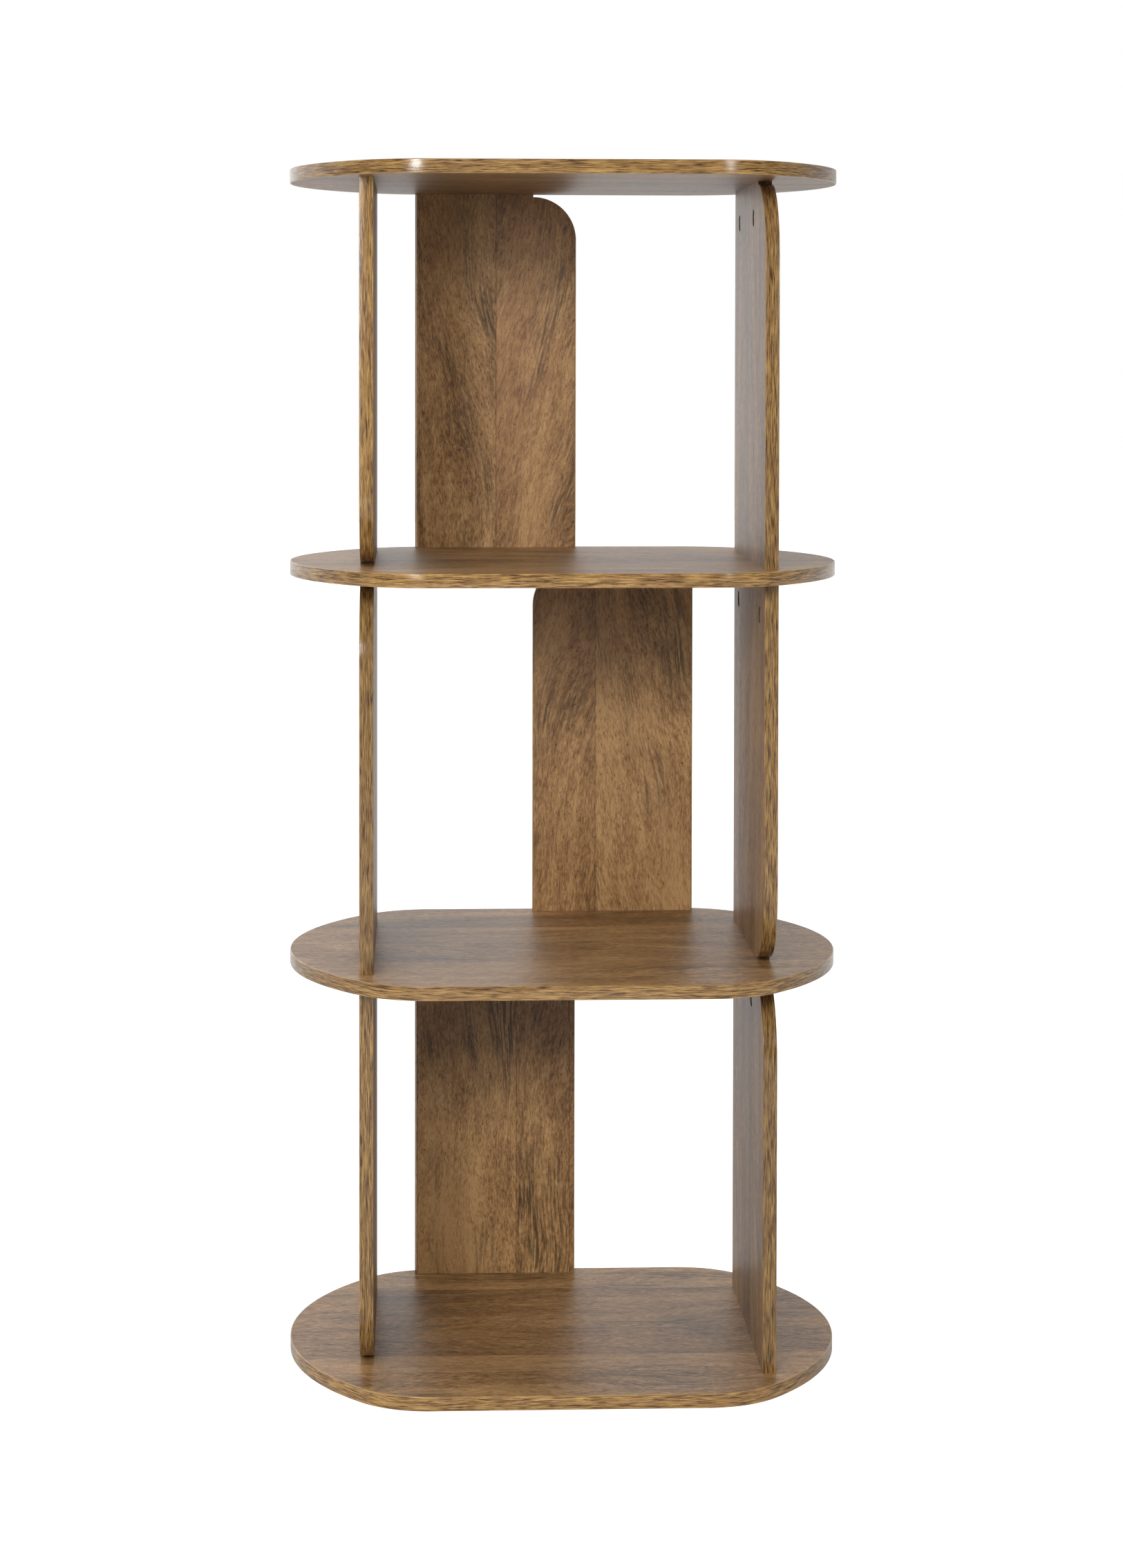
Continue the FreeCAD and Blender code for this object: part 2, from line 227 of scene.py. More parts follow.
pore_place = vector(tree, maths(tree, "MULTIPLY", wandered, 1.3),
                    maths(tree, "MULTIPLY", along, 2.2), maths(tree, "ADD", part["Z"], 5.3))
pores = noise(tree, pore_place, detail=1.0)
tree.links.new(spread(tree, pores, 0.62, 0.74), result["Pores"])
print("fibre group", len(tree.nodes), "nodes")

# %% [markdown]
# ## The print on the boards' faces
#
# The faces show a rustic hardwood: planks side by side, each with its own tone and lean of grain.
# Up close the grain is thousands of short dashes, the cut-open pores. From further away you see
# soft lighter and darker patches, smoky dark streaks that gather in clouds, and in some planks the
# arched lines of a board sawn from the side of a log. Planks come from a one-dimensional Voronoi
# texture, which cuts the width into cells of uneven size and gives each cell a random colour.
# Those random numbers set the plank's tone, lean and arches. One Wave texture would draw simpler
# grain, but it shows the same rings all over.

# %% Face print group
dark_wood = srgb(78, 53, 30)
mid_wood = srgb(141, 105, 65)
light_wood = srgb(180, 144, 97)
red_wood = srgb(145, 103, 68)
smoke = srgb(52, 38, 23)

face_group, given, result = start_group(
    "rustic face print",
    [
        ("Place", "NodeSocketVector", None),
        ("Plank Width", "NodeSocketFloat", 0.085),
    ],
    [("Color", "NodeSocketColor"), ("Height", "NodeSocketFloat"), ("Roughness", "NodeSocketFloat")],
)
tree = face_group
part = add(tree, "ShaderNodeSeparateXYZ", Vector=given["Place"]).outputs
plank_place = maths(tree, "ADD", maths(tree, "DIVIDE", part["X"], given["Plank Width"]),
                    maths(tree, "MULTIPLY", part["Z"], 3.7))
plank = add(tree, "ShaderNodeTexVoronoi", {"voronoi_dimensions": "1D"}, W=plank_place, Scale=1.0)
chance = add(tree, "ShaderNodeSeparateColor", Color=plank.outputs["Color"]).outputs
joint = add(tree, "ShaderNodeTexVoronoi",
            {"voronoi_dimensions": "1D", "feature": "DISTANCE_TO_EDGE"}, W=plank_place, Scale=1.0)
joint_line = spread(tree, joint.outputs["Distance"], 0.004, 0.010, 1.0, 0.0)


def centred(tree, value, amount):
    """A value between 0 and 1, moved to lie around 0 and scaled."""
    return maths(tree, "MULTIPLY", maths(tree, "SUBTRACT", value, 0.5), amount)


def cloud(tree, across, along, wood, width, length, shift, **settings):
    """Noise that is stretched along the grain. `shift` picks another piece of it."""
    place = vector(tree, maths(tree, "DIVIDE", across, width), maths(tree, "DIVIDE", along, length),
                   maths(tree, "ADD", wood, shift))
    return noise(tree, place, **settings)


wood = maths(tree, "ADD", part["Z"], maths(tree, "MULTIPLY", chance["Red"], 9.0))
lean = maths(tree, "MULTIPLY", part["Y"], centred(tree, chance["Green"], 0.5))
sway = centred(tree, cloud(tree, part["X"], part["Y"], wood, 0.09, 0.22, 0.4, detail=1.0), 0.05)
grain_x = maths(tree, "ADD", maths(tree, "ADD", part["X"], lean), sway)
place = vector(tree, grain_x, part["Y"], wood)

# %% Face print tones
dashes = place_group(tree, fibre_group, Place=place, Width=0.0013, Length=0.0065, Wander=0.3)
streaks = place_group(tree, fibre_group, Place=place, Width=0.0042, Length=0.065, Wander=0.6)
patches = cloud(tree, grain_x, part["Y"], wood, 0.030, 0.13, 2.1, detail=2.0)
mottle = cloud(tree, grain_x, part["Y"], wood, 0.0075, 0.022, 6.1, detail=2.0)
drift = cloud(tree, grain_x, part["Y"], wood, 0.07, 0.34, 3.3, detail=0.0)
clouds = cloud(tree, grain_x, part["Y"], wood, 0.034, 0.17, 7.7, detail=2.0)
clouds = spread(tree, clouds, 0.50, 0.68)
wisps = cloud(tree, grain_x, part["Y"], wood, 0.0018, 0.034, 8.2, detail=2.0)
wisps = spread(tree, wisps, 0.45, 0.58)
rings = cloud(tree, grain_x, part["Y"], wood, 0.055, 0.20, 4.4, detail=1.0)
rings = spread(tree, maths(tree, "SINE", maths(tree, "MULTIPLY", rings, 110.0)), 0.1, 1.0)
arched = spread(tree, chance["Blue"], 0.40, 0.65)

level = 0.56
for amount in (
    centred(tree, chance["Red"], 0.28),
    centred(tree, patches, 0.80),
    centred(tree, mottle, 0.60),
    centred(tree, drift, 0.50),
    centred(tree, streaks["Fibres"], 0.28),
    centred(tree, dashes["Fibres"], 0.70),
    maths(tree, "MULTIPLY", maths(tree, "MULTIPLY", rings, arched), -0.10),
    maths(tree, "MULTIPLY", dashes["Pores"], -0.50),
    maths(tree, "MULTIPLY", joint_line, -0.22),
):
    level = maths(tree, "ADD", level, amount)

# %% Face print colours
lower_half = spread(tree, level, 0.0, 0.5)
upper_half = spread(tree, level, 0.5, 1.0)
colour = blend(tree, upper_half, blend(tree, lower_half, dark_wood, mid_wood), light_wood)
colour = blend(tree, spread(tree, drift, 0.50, 0.70, 0.0, 0.20), colour, red_wood)
wispy = maths(tree, "ADD", 0.06, maths(tree, "MULTIPLY", wisps, 0.72))
smoky = maths(tree, "MULTIPLY", clouds, wispy)
colour = blend(tree, smoky, colour, smoke)
tree.links.new(colour, result["Color"])
height = maths(tree, "SUBTRACT", maths(tree, "MULTIPLY", dashes["Fibres"], 0.4), dashes["Pores"])
tree.links.new(height, result["Height"])
tree.links.new(spread(tree, dashes["Fibres"], 0.0, 1.0, 0.44, 0.36), result["Roughness"])
print("face print group", len(tree.nodes), "nodes")

# %% [markdown]
# ## Board materials
#
# The print runs along each board's length: from left to right on the shelves and from bottom to
# top on the panels. So each board's material picks which of its Object coordinates lie across and
# along the grain. Every board gets a material of its own, only so that its print starts somewhere
# else on the roll. One material with a random number for each object would do too, but then
# nobody chooses where a board's figure falls.
#
# The print is a thin skin on chipboard, and the holes for the cams cut through it. So the third
# coordinate, through the board, tells the skin from the core: whatever lies deeper than the skin is
# chipboard with fine chips in two tones, painted far darker than bare chipboard as painted shade in
# the holes.

# %% Board material
skin = 0.00005
# The chip colours are painted shade: far darker than bare chipboard, so the cams' holes look deep and
# shadowed.
dark_shaded_chips, pale_shaded_chips = srgb(58, 42, 28), srgb(112, 84, 56)
chipboard_roughness = 0.9


def board_material(name, axes_used, roll, low, high):
    """The face print on a board. axes_used are across the grain, along it and through the board,
    roll is where the print starts, and low and high are the heights of the board's two faces."""
    across_axis, along_axis, through_axis = axes_used
    material = bpy.data.materials.new(name)
    material.use_nodes = True
    tree = material.node_tree
    tree.nodes.clear()
    spot = add(tree, "ShaderNodeTexCoord").outputs["Object"]
    axes = add(tree, "ShaderNodeSeparateXYZ", Vector=spot).outputs
    place = vector(tree, axes[across_axis], axes[along_axis], roll)
    face = place_group(tree, face_group, Place=place)
    depth = maths(tree, "MINIMUM", maths(tree, "SUBTRACT", axes[through_axis], low),
                  maths(tree, "SUBTRACT", high, axes[through_axis]))
    inside = maths(tree, "GREATER_THAN", depth, skin)
    chips = noise(tree, spot, scale=900.0, detail=3.0, roughness=0.7)
    shaded_core = blend(tree, spread(tree, chips, 0.35, 0.65), dark_shaded_chips, pale_shaded_chips)
    core_roughness = maths(tree, "MULTIPLY", inside, chipboard_roughness)
    relief = add(tree, "ShaderNodeBump", Strength=0.12, Distance=0.0002, Height=face["Height"])
    finish = add(tree, "ShaderNodeBsdfPrincipled",
                 Base_Color=blend(tree, inside, face["Color"], shaded_core),
                 Roughness=maths(tree, "MAXIMUM", face["Roughness"], core_roughness),
                 Specular_IOR_Level=0.4, Normal=relief.outputs["Normal"])
    add(tree, "ShaderNodeOutputMaterial", Surface=finish.outputs[0])
    return material


shelf_rolls = {"base_shelf": 1.3, "lower_shelf": 2.7, "upper_shelf": 4.1, "top_shelf": 5.9}
side_rolls = {
    "lower_left_panel": 11.2, "lower_right_panel": 12.5, "middle_left_panel": 13.9,
    "middle_right_panel": 15.1, "upper_left_panel": 16.4, "upper_right_panel": 17.8,
}
back_rolls = {"lower_back_panel": 21.3, "middle_back_panel": 22.6, "upper_back_panel": 24.2}
for rolls, axes_used in ((shelf_rolls, "YXZ"), (side_rolls, "YZX"), (back_rolls, "XZY")):
    through = "XYZ".index(axes_used[2])
    for name, roll in rolls.items():
        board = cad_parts[name]
        low, high = (corner[through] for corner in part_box(name))
        material = board_material(f"{name} print", axes_used, roll, low, high)
        board.data.materials.clear()
        board.data.materials.append(material)
print(len(shelf_rolls) + len(side_rolls) + len(back_rolls), "boards have their print")

# %% [markdown]
# ## Metal and dowel finishes
#
# The fasteners are seen from below, in the cams' holes, or not at all. Cams are cast zinc, which is
# dull and slightly pitted. Bolts and screws are plated steel, brighter and smoother. Dowels are
# bare beech with short pale flecks. Plain metal of one colour looks like plastic up close, so a
# noise varies its colour, its roughness and, a little, its surface.

# %% Fastener materials
def metal_material(name, colour, roughness, grain, relief_strength):
    material = bpy.data.materials.new(name)
    material.use_nodes = True
    tree = material.node_tree
    tree.nodes.clear()
    place = add(tree, "ShaderNodeTexCoord").outputs["Object"]
    mottle = noise(tree, place, scale=grain, detail=4.0, roughness=0.6)
    darker = [channel * 0.82 for channel in colour[:3]] + [1]
    shade = blend(tree, spread(tree, mottle, 0.3, 0.7), darker, colour)
    wear = spread(tree, mottle, 0.3, 0.7, roughness - 0.08, roughness + 0.08)
    relief = add(tree, "ShaderNodeBump", Strength=relief_strength, Distance=0.0001, Height=mottle)
    finish = add(tree, "ShaderNodeBsdfPrincipled", Base_Color=shade, Metallic=1.0, Roughness=wear,
                 Normal=relief.outputs["Normal"])
    add(tree, "ShaderNodeOutputMaterial", Surface=finish.outputs[0])
    return material


def dowel_material():
    material = bpy.data.materials.new("bare beech")
    material.use_nodes = True
    tree = material.node_tree
    tree.nodes.clear()
    spot = add(tree, "ShaderNodeTexCoord").outputs["Object"]
    axes = add(tree, "ShaderNodeSeparateXYZ", Vector=spot).outputs
    round_the_dowel = maths(tree, "ADD", axes["X"], axes["Y"])
    place = vector(tree, round_the_dowel, axes["Z"], 0.7)
    grain = place_group(tree, fibre_group, Place=place, Width=0.0006, Length=0.004, Wander=0.4)
    shade = blend(tree, grain["Fibres"], srgb(214, 178, 132), srgb(190, 148, 100))
    relief = add(tree, "ShaderNodeBump", Strength=0.3, Distance=0.0001, Height=grain["Fibres"])
    finish = add(tree, "ShaderNodeBsdfPrincipled", Base_Color=shade, Roughness=0.7,
                 Normal=relief.outputs["Normal"])
    add(tree, "ShaderNodeOutputMaterial", Surface=finish.outputs[0])
    return material


cast_zinc = metal_material(
    "cast zinc", srgb(186, 186, 184), roughness=0.42, grain=900.0, relief_strength=0.25)
plated_steel = metal_material(
    "plated steel", srgb(200, 199, 194), roughness=0.28, grain=400.0, relief_strength=0.08)
beech = dowel_material()
tiers = ("lower", "middle", "upper")
fastener_finishes = {"cam_bolts": plated_steel, "screws": plated_steel, "dowels": beech}
for tier in tiers:
    for kind, material in fastener_finishes.items():
        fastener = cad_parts[f"{tier}_tier_{kind}"]
        fastener.data.materials.clear()
        fastener.data.materials.append(material)
print("fasteners have their finishes")

# %% [markdown]
# ## Edge banding material
#
# The banding is a plastic strip with its own print, an oak with long streaks of gold, brown and
# dusty purple that always run along the strip, round the corners too. Object coordinates can't
# turn a corner, so the strip carries its own: how far across and how far along each point lies,
# and a number for the strip. The machine that trims the strip rounds its two long edges and cuts
# through the print, so they show the plain pale plastic. Each strip also carries a brightness of
# its own, which darkens or lightens the whole print. It is partly the rolls' own tone and partly
# painted light: darker strips on the right-hand panels and the top shelf, a lighter base shelf.

# %% Banding material
strip_width = 0.012
oak_dark, oak_light = srgb(123, 91, 51), srgb(150, 117, 70)
dusty_purple = srgb(129, 96, 67)
dark_line, pale_line = srgb(64, 42, 22), srgb(186, 152, 94)
plain_plastic = srgb(163, 129, 82)

band = bpy.data.materials.new("oak edge banding")
band.use_nodes = True
tree = band.node_tree
tree.nodes.clear()
place = add(tree, "ShaderNodeAttribute", {"attribute_name": "strip"}).outputs["Vector"]
part = add(tree, "ShaderNodeSeparateXYZ", Vector=place).outputs
fine = place_group(tree, fibre_group, Place=place, Width=0.0008, Length=0.016, Wander=0.3)
broad = place_group(tree, fibre_group, Place=place, Width=0.0027, Length=0.055, Wander=0.4)
hue = cloud(tree, part["X"], part["Y"], part["Z"], 0.0035, 0.045, 3.0)
shade = blend(tree, broad["Fibres"], oak_dark, oak_light)
shade = blend(tree, spread(tree, hue, 0.46, 0.66, 0.0, 0.5), shade, dusty_purple)
dark_streak = spread(tree, fine["Fibres"], 0.50, 0.16, 0.0, 0.95)
shade = blend(tree, dark_streak, shade, dark_line)
light_streak = spread(tree, fine["Fibres"], 0.60, 0.86, 0.0, 0.6)
shade = blend(tree, light_streak, shade, pale_line)
from_edge = maths(tree, "MINIMUM", part["X"], maths(tree, "SUBTRACT", strip_width, part["X"]))
trimmed = spread(tree, from_edge, 0.00035, 0.00060, 0.5, 0.0)
shade = blend(tree, trimmed, shade, plain_plastic)
# The strip's brightness is partly painted light: it darkens or lightens the whole print.
tone = add(tree, "ShaderNodeAttribute", {"attribute_name": "tone"}).outputs["Fac"]
toning_and_light = add(tree, "ShaderNodeCombineColor", Red=tone, Green=tone, Blue=tone).outputs[0]
shade = blend(tree, 1.0, shade, toning_and_light, "MULTIPLY")
relief = add(tree, "ShaderNodeBump", Strength=0.15, Distance=0.0002, Height=fine["Fibres"])
finish = add(tree, "ShaderNodeBsdfPrincipled", Base_Color=shade, Normal=relief.outputs["Normal"],
             Roughness=spread(tree, fine["Fibres"], 0.0, 1.0, 0.22, 0.16))
add(tree, "ShaderNodeOutputMaterial", Surface=finish.outputs[0])
print(band.name, len(tree.nodes), "nodes")

# %% [markdown]
# ## Sweeping the banding
#
# A strip of banding is one cross-section carried along one path, which is what Curve to Mesh does
# in Geometry Nodes. A curve with a bevel object gives the same shape, but can't tell the material
# how far along each point lies. The cross-section is a rectangle whose two outer corners are
# rounded by the trimmer. The tree measures the distance along the path and across the strip before
# it sweeps, and stores them, with the strip's number and its brightness, which is partly painted
# light, as the attributes that the material reads.

# %% Banding tree
thickness = 0.001
trim_radius = 0.0006
trim_steps = 5


def section_points():
    """From the glued side, out round both trimmed edges, and back to the glued side."""
    flat = thickness - trim_radius
    points = [(0, 0), (flat, 0)]
    for step in range(1, trim_steps + 1):
        turn = math.pi / 2 * step / trim_steps
        points.append((flat + trim_radius * math.sin(turn), trim_radius * (1 - math.cos(turn))))
    mirrored = [(out, strip_width - width) for out, width in reversed(points)]
    return points + mirrored


section_data = bpy.data.curves.new("banding section", "CURVE")
section_data.dimensions = "3D"
outline = section_data.splines.new("POLY")
outline.points.add(len(section_points()) - 1)
for point, (out, width) in zip(outline.points, section_points()):
    point.co = (out, -width, 0, 1)
outline.use_cyclic_u = True
section = bpy.data.objects.new("banding section", section_data)

banding_tree, given, result = start_group(
    "edge banding",
    [
        ("Path", "NodeSocketGeometry", None),
        ("Section", "NodeSocketObject", None),
        ("Strip Number", "NodeSocketFloat", 0.0),
        ("Tone And Light", "NodeSocketFloat", 1.0),
        ("Material", "NodeSocketMaterial", None),
    ],
    [("Banding", "NodeSocketGeometry")],
    "GeometryNodeTree",
)
tree = banding_tree
upright = add(tree, "GeometryNodeSetCurveNormal", {"mode": "Z_UP"}, Curve=given["Path"])
walked = add(tree, "GeometryNodeSplineParameter")
path = add(tree, "GeometryNodeCaptureAttribute", {"domain": "POINT"}, Geometry=upright.outputs[0])
path.capture_items.new("FLOAT", "Along")
tree.links.new(walked.outputs["Length"], path.inputs["Along"])
section_info = add(tree, "GeometryNodeObjectInfo", Object=given["Section"])
spot = add(tree, "ShaderNodeSeparateXYZ", Vector=add(tree, "GeometryNodeInputPosition").outputs[0])
profile = add(tree, "GeometryNodeCaptureAttribute", {"domain": "POINT"},
              Geometry=section_info.outputs["Geometry"])
profile.capture_items.new("FLOAT", "Across")
tree.links.new(maths(tree, "MULTIPLY", spot.outputs["Y"], -1.0), profile.inputs["Across"])
swept = add(tree, "GeometryNodeCurveToMesh", Curve=path.outputs["Geometry"],
            Profile_Curve=profile.outputs["Geometry"], Fill_Caps=True)
strip_place = vector(tree, profile.outputs["Across"], path.outputs["Along"], given["Strip Number"])
stored = add(tree, "GeometryNodeStoreNamedAttribute",
             {"data_type": "FLOAT_VECTOR", "domain": "POINT"},
             Geometry=swept.outputs[0], Name="strip", Value=strip_place)
toned = add(tree, "GeometryNodeStoreNamedAttribute", {"data_type": "FLOAT", "domain": "POINT"},
            Geometry=stored.outputs[0], Name="tone", Value=given["Tone And Light"])
real = add(tree, "GeometryNodeRealizeInstances", Geometry=toned.outputs[0])
painted = add(tree, "GeometryNodeSetMaterial", Geometry=real.outputs[0], Material=given["Material"])
tree.links.new(painted.outputs[0], result["Banding"])
print("banding section", len(section_points()), "points")

# %% [markdown]
# Running a tree is the same for every piece: put it on an object as a modifier, fill its inputs by
# their identifiers, read the result as a plain mesh, and drop the modifier with its object.

# %% Run a tree
def run_tree(source, tree, values):
    """The mesh that a Geometry Nodes tree makes from a curve or mesh."""
    carrier = bpy.data.objects.new("carrier", source)
    bpy.context.collection.objects.link(carrier)
    modifier = carrier.modifiers.new("nodes", "NODES")
    modifier.node_group = tree
    for item in tree.interface.items_tree:
        if item.in_out == "INPUT" and item.name in values:
            modifier[item.identifier] = values[item.name]
    seen = carrier.evaluated_get(bpy.context.evaluated_depsgraph_get())
    mesh = bpy.data.meshes.new_from_object(seen)
    bpy.data.objects.remove(carrier)
    return mesh


def as_piece(name, mesh, slot, *nodes):
    """A finished piece that rides on the unit and stands for its CAD nodes."""
    piece = bpy.data.objects.new(name, mesh)
    bpy.context.collection.objects.link(piece)
    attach(piece, "root")
    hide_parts(*nodes)
    return piece


band_crease = 40  # degrees; sharper edges stay sharp
# Each strip's brightness: partly the rolls' own tone, partly painted light that darkens the right-hand
# panels' and the top shelf's strips and lightens the base shelf's.
strip_tones_and_light = {
    "upper_right_panel": 0.83, "middle_right_panel": 0.83, "lower_right_panel": 0.77,
    "middle_left_panel": 0.80, "lower_left_panel": 0.93,
    "base_shelf": 1.24, "lower_shelf": 1.02, "upper_shelf": 1.08, "top_shelf": 0.93,
}


def strip_of_banding(name, points, number, placing, node):
    """Sweep banding along points in a board's plane. Its outer side is on the right of the way.
    The number picks a stretch of the print, and placing stands the flat strip in its place."""
    data = bpy.data.curves.new(name, "CURVE")
    data.dimensions = "3D"
    run = data.splines.new("POLY")
    run.points.add(len(points) - 1)
    for point, (x, y) in zip(run.points, points):
        point.co = (x, y, 0, 1)
    board = node.split("_round")[0].split("_straight")[0].split("_edge")[0]
    tone = strip_tones_and_light.get(board, 1.0)
    values = {"Section": section, "Strip Number": number, "Tone And Light": tone, "Material": band}
    mesh = run_tree(data, banding_tree, values)
    mesh.transform(placing)
    if placing.determinant() < 0:
        mesh.flip_normals()
    mesh.shade_smooth()
    mesh.set_sharp_from_angle(angle=math.radians(band_crease))
    mesh.name = name
    return as_piece(name, mesh, "edge_banding", node)


def arc_points(centre, radius, start, sweep):
    """Points along an arc, one every two degrees or so, with angles in degrees."""
    count = max(2, math.ceil(abs(sweep) / 2))
    points = []
    for step in range(count + 1):
        turn = math.radians(start + sweep * step / count)
        points.append((centre[0] + radius * math.cos(turn), centre[1] + radius * math.sin(turn)))
    return points


# %% [markdown]
# ## Banding round the shelves
#
# Each shelf is a disc with a piece cut off at the front and at the rear, and a large radius where
# the straight edges run into the round ends. One strip goes all the way round, from a butt seam in
# the middle of the rear edge, where nobody sees it, back to that seam.

# %% Shelf banding
disc_radius = 0.240
half_depth = 0.190
corner_radius = 0.080
seam = 0.0002
corner_y = half_depth - corner_radius
corner_x = math.sqrt((disc_radius - corner_radius) ** 2 - corner_y**2)
end_angle = math.degrees(math.atan2(corner_y, corner_x))


def shelf_path():
    """Anticlockwise from the seam, along the glued side of the strip."""
    corner, end = corner_radius - thickness, disc_radius - thickness
    turn = 90 - end_angle
    points = [(-seam / 2, half_depth - thickness)]
    points += arc_points((-corner_x, corner_y), corner, 90, turn)
    points += arc_points((0, 0), end, 180 - end_angle, 2 * end_angle)[1:]
    points += arc_points((-corner_x, -corner_y), corner, 270 - turn, turn)[1:]
    points += arc_points((corner_x, -corner_y), corner, -90, turn)
    points += arc_points((0, 0), end, -end_angle, 2 * end_angle)[1:]
    points += arc_points((corner_x, corner_y), corner, end_angle, turn)[1:]
    points.append((seam / 2, half_depth - thickness))
    return points


for number, name in enumerate(shelf_rolls):
    floor_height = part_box(name)[0][2]
    placing = Matrix.Translation((0, 0, floor_height))
    strip = strip_of_banding(
        f"{name}_banding", shelf_path(), 0.7 + 1.9 * number, placing, f"{name}_edge_band")
    print(strip.name, len(strip.data.polygons), "faces")

# %% [markdown]
# ## Banding on the panels
#
# Each panel has two strips: one up its straight edge, and one up the other edge and round the
# rounded corner. Both are drawn flat, across and up the panel, and a matrix stands them in place.
# For some panels that matrix is a mirror, which turns the faces inside out, so they are flipped.

# %% Panel banding
side_corner = 0.064
back_corner = 0.040
corner_step = 0.0025
across_x, across_y, up = Vector((1, 0, 0)), Vector((0, 1, 0)), Vector((0, 0, 1))
rounded_top = {"lower_right_panel", "middle_left_panel", "upper_right_panel", *back_rolls}
panel_frames = {}


def panel_directions(name):
    """Across the panel to its rounded edge, and through it from the face that holds the cams."""
    if name in back_rolls:
        return (-across_x if name.startswith("middle") else across_x), -across_y
    return -across_y, (across_x if "right" in name else -across_x)


def round_edge_path(width, height, radius):
    """From the square end up the edge and round the corner, on the glued side."""
    straight = height - corner_step - radius
    points = [(width - thickness, 0)]
    return points + arc_points((width - radius, straight), radius - thickness, 0, 90)


for number, name in enumerate([*side_rolls, *back_rolls]):
    across, through = panel_directions(name)
    lowest, highest = (Vector(corner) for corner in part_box(name))
    for edge in ("round_edge_band", "straight_edge_band"):
        low, high = (Vector(corner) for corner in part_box(f"{name}_{edge}"))
        lowest = Vector(map(min, lowest, low))
        highest = Vector(map(max, highest, high))
    size = highest - lowest
    width, height = abs(size.dot(across)), size.z
    origin = Vector((
        highest[axis] if across[axis] + through[axis] < 0 else lowest[axis] for axis in range(2)
    ))
    origin = Vector((*origin, lowest.z))
    frame_axes = Matrix((across, up, through)).transposed().to_4x4()
    placing = Matrix.Translation(origin) @ frame_axes
    radius = back_corner if name in back_rolls else side_corner
    panel_frames[name] = (origin, across, through, width, height, radius)
    path = round_edge_path(width, height, radius)
    if name not in rounded_top:
        path = [(x, height - y) for x, y in reversed(path)]
    strip_of_banding(
        f"{name}_round_banding", path, 11.3 + 2.3 * number, placing, f"{name}_round_edge_band")
    path = [(thickness, height), (thickness, 0)]
    strip_of_banding(
        f"{name}_straight_banding", path, 47.1 + 1.7 * number, placing,
        f"{name}_straight_edge_band")
print(2 * (len(side_rolls) + len(back_rolls)), "strips on the panels")

# %% [markdown]
# ## Cams
#
# A cam is a die-cast zinc drum in a round hole near a panel's top. Its face has a cross for the
# screwdriver and an arrow that points at the bolt. Behind the face it is hollow, with a mouth
# where the bolt's head goes in and a slot for the bolt's neck to slide along as the cam turns.
# Only the faces show, inside the right panels and behind the back ones, but the cup is made too,
# for it takes only a few more cuts.
#
# The drum could be built vertex by vertex. Cutting it out of simple solids is shorter, and reads
# like the casting itself: Mesh Boolean takes a cylinder and leaves what lies inside a wide cone,
# which chamfers the rim, then takes away the cross, the arrow and the hollow. The tree puts one
# such drum on every point it is given, turned by an attribute of the point.

# %% Cam tree
cam_inputs = {
    "Drum Radius": 0.0074, "Drum Depth": 0.0085, "Chamfer": 0.0004,
    "Cross Length": 0.0065, "Cross Width": 0.0013, "Cross Depth": 0.0013,
    "Arrow Radius": 0.0015, "Arrow Depth": 0.0004,
    "Wall": 0.0024, "Face Thickness": 0.0019, "Mouth Width": 0.0064,
    "Slot Start": 0.0033, "Slot Width": 0.0036,
}
cam_tree, given, result = start_group(
    "cams",
    [("Places", "NodeSocketGeometry", None), ("Material", "NodeSocketMaterial", None)]
    + [(name, "NodeSocketFloat", value) for name, value in cam_inputs.items()],
    [("Cams", "NodeSocketGeometry")],
    "GeometryNodeTree",
)
tree = cam_tree
overrun = 0.001  # how far a cutter reaches past what it cuts
round_sides = 48
merge_distance = 0.00002


def moved(mesh, **inputs):
    return add(tree, "GeometryNodeTransform", Geometry=mesh, **inputs).outputs[0]


def rod(radius, depth, start, sides=round_sides, turn=0.0):
    """A cylinder along Z, from a starting height."""
    mesh = add(tree, "GeometryNodeMeshCylinder", Vertices=sides, Radius=radius, Depth=depth)
    middle = maths(tree, "ADD", start, maths(tree, "MULTIPLY", depth, 0.5))
    place = vector(tree, 0.0, 0.0, middle)
    return moved(mesh.outputs["Mesh"], Translation=place, Rotation=(0, 0, turn))


def block(x_size, y_size, z_size, x, y, start):
    """A cuboid centred at x and y, from a starting height."""
    mesh = add(tree, "GeometryNodeMeshCube", Size=vector(tree, x_size, y_size, z_size))
    middle = maths(tree, "ADD", start, maths(tree, "MULTIPLY", z_size, 0.5))
    return moved(mesh.outputs["Mesh"], Translation=vector(tree, x, y, middle))


drum = rod(given["Drum Radius"], given["Drum Depth"], 0.0)
rim = maths(tree, "SUBTRACT", given["Drum Radius"], given["Chamfer"])
narrow = maths(tree, "SUBTRACT", rim, overrun)
cone_height = maths(tree, "ADD", given["Drum Depth"], 2 * overrun)
wide = maths(tree, "ADD", narrow, cone_height)
cone = add(tree, "GeometryNodeMeshCone", Vertices=round_sides, Radius_Top=wide,
           Radius_Bottom=narrow, Depth=cone_height).outputs["Mesh"]
chamfered = add(tree, "GeometryNodeMeshBoolean", {"operation": "INTERSECT", "solver": "EXACT"})
tree.links.new(drum, chamfered.inputs["Mesh 2"])
tree.links.new(moved(cone, Translation=(0, 0, -overrun)), chamfered.inputs["Mesh 2"])
chamfered = add(tree, "GeometryNodeMergeByDistance", Geometry=chamfered.outputs["Mesh"],
                Distance=merge_distance)

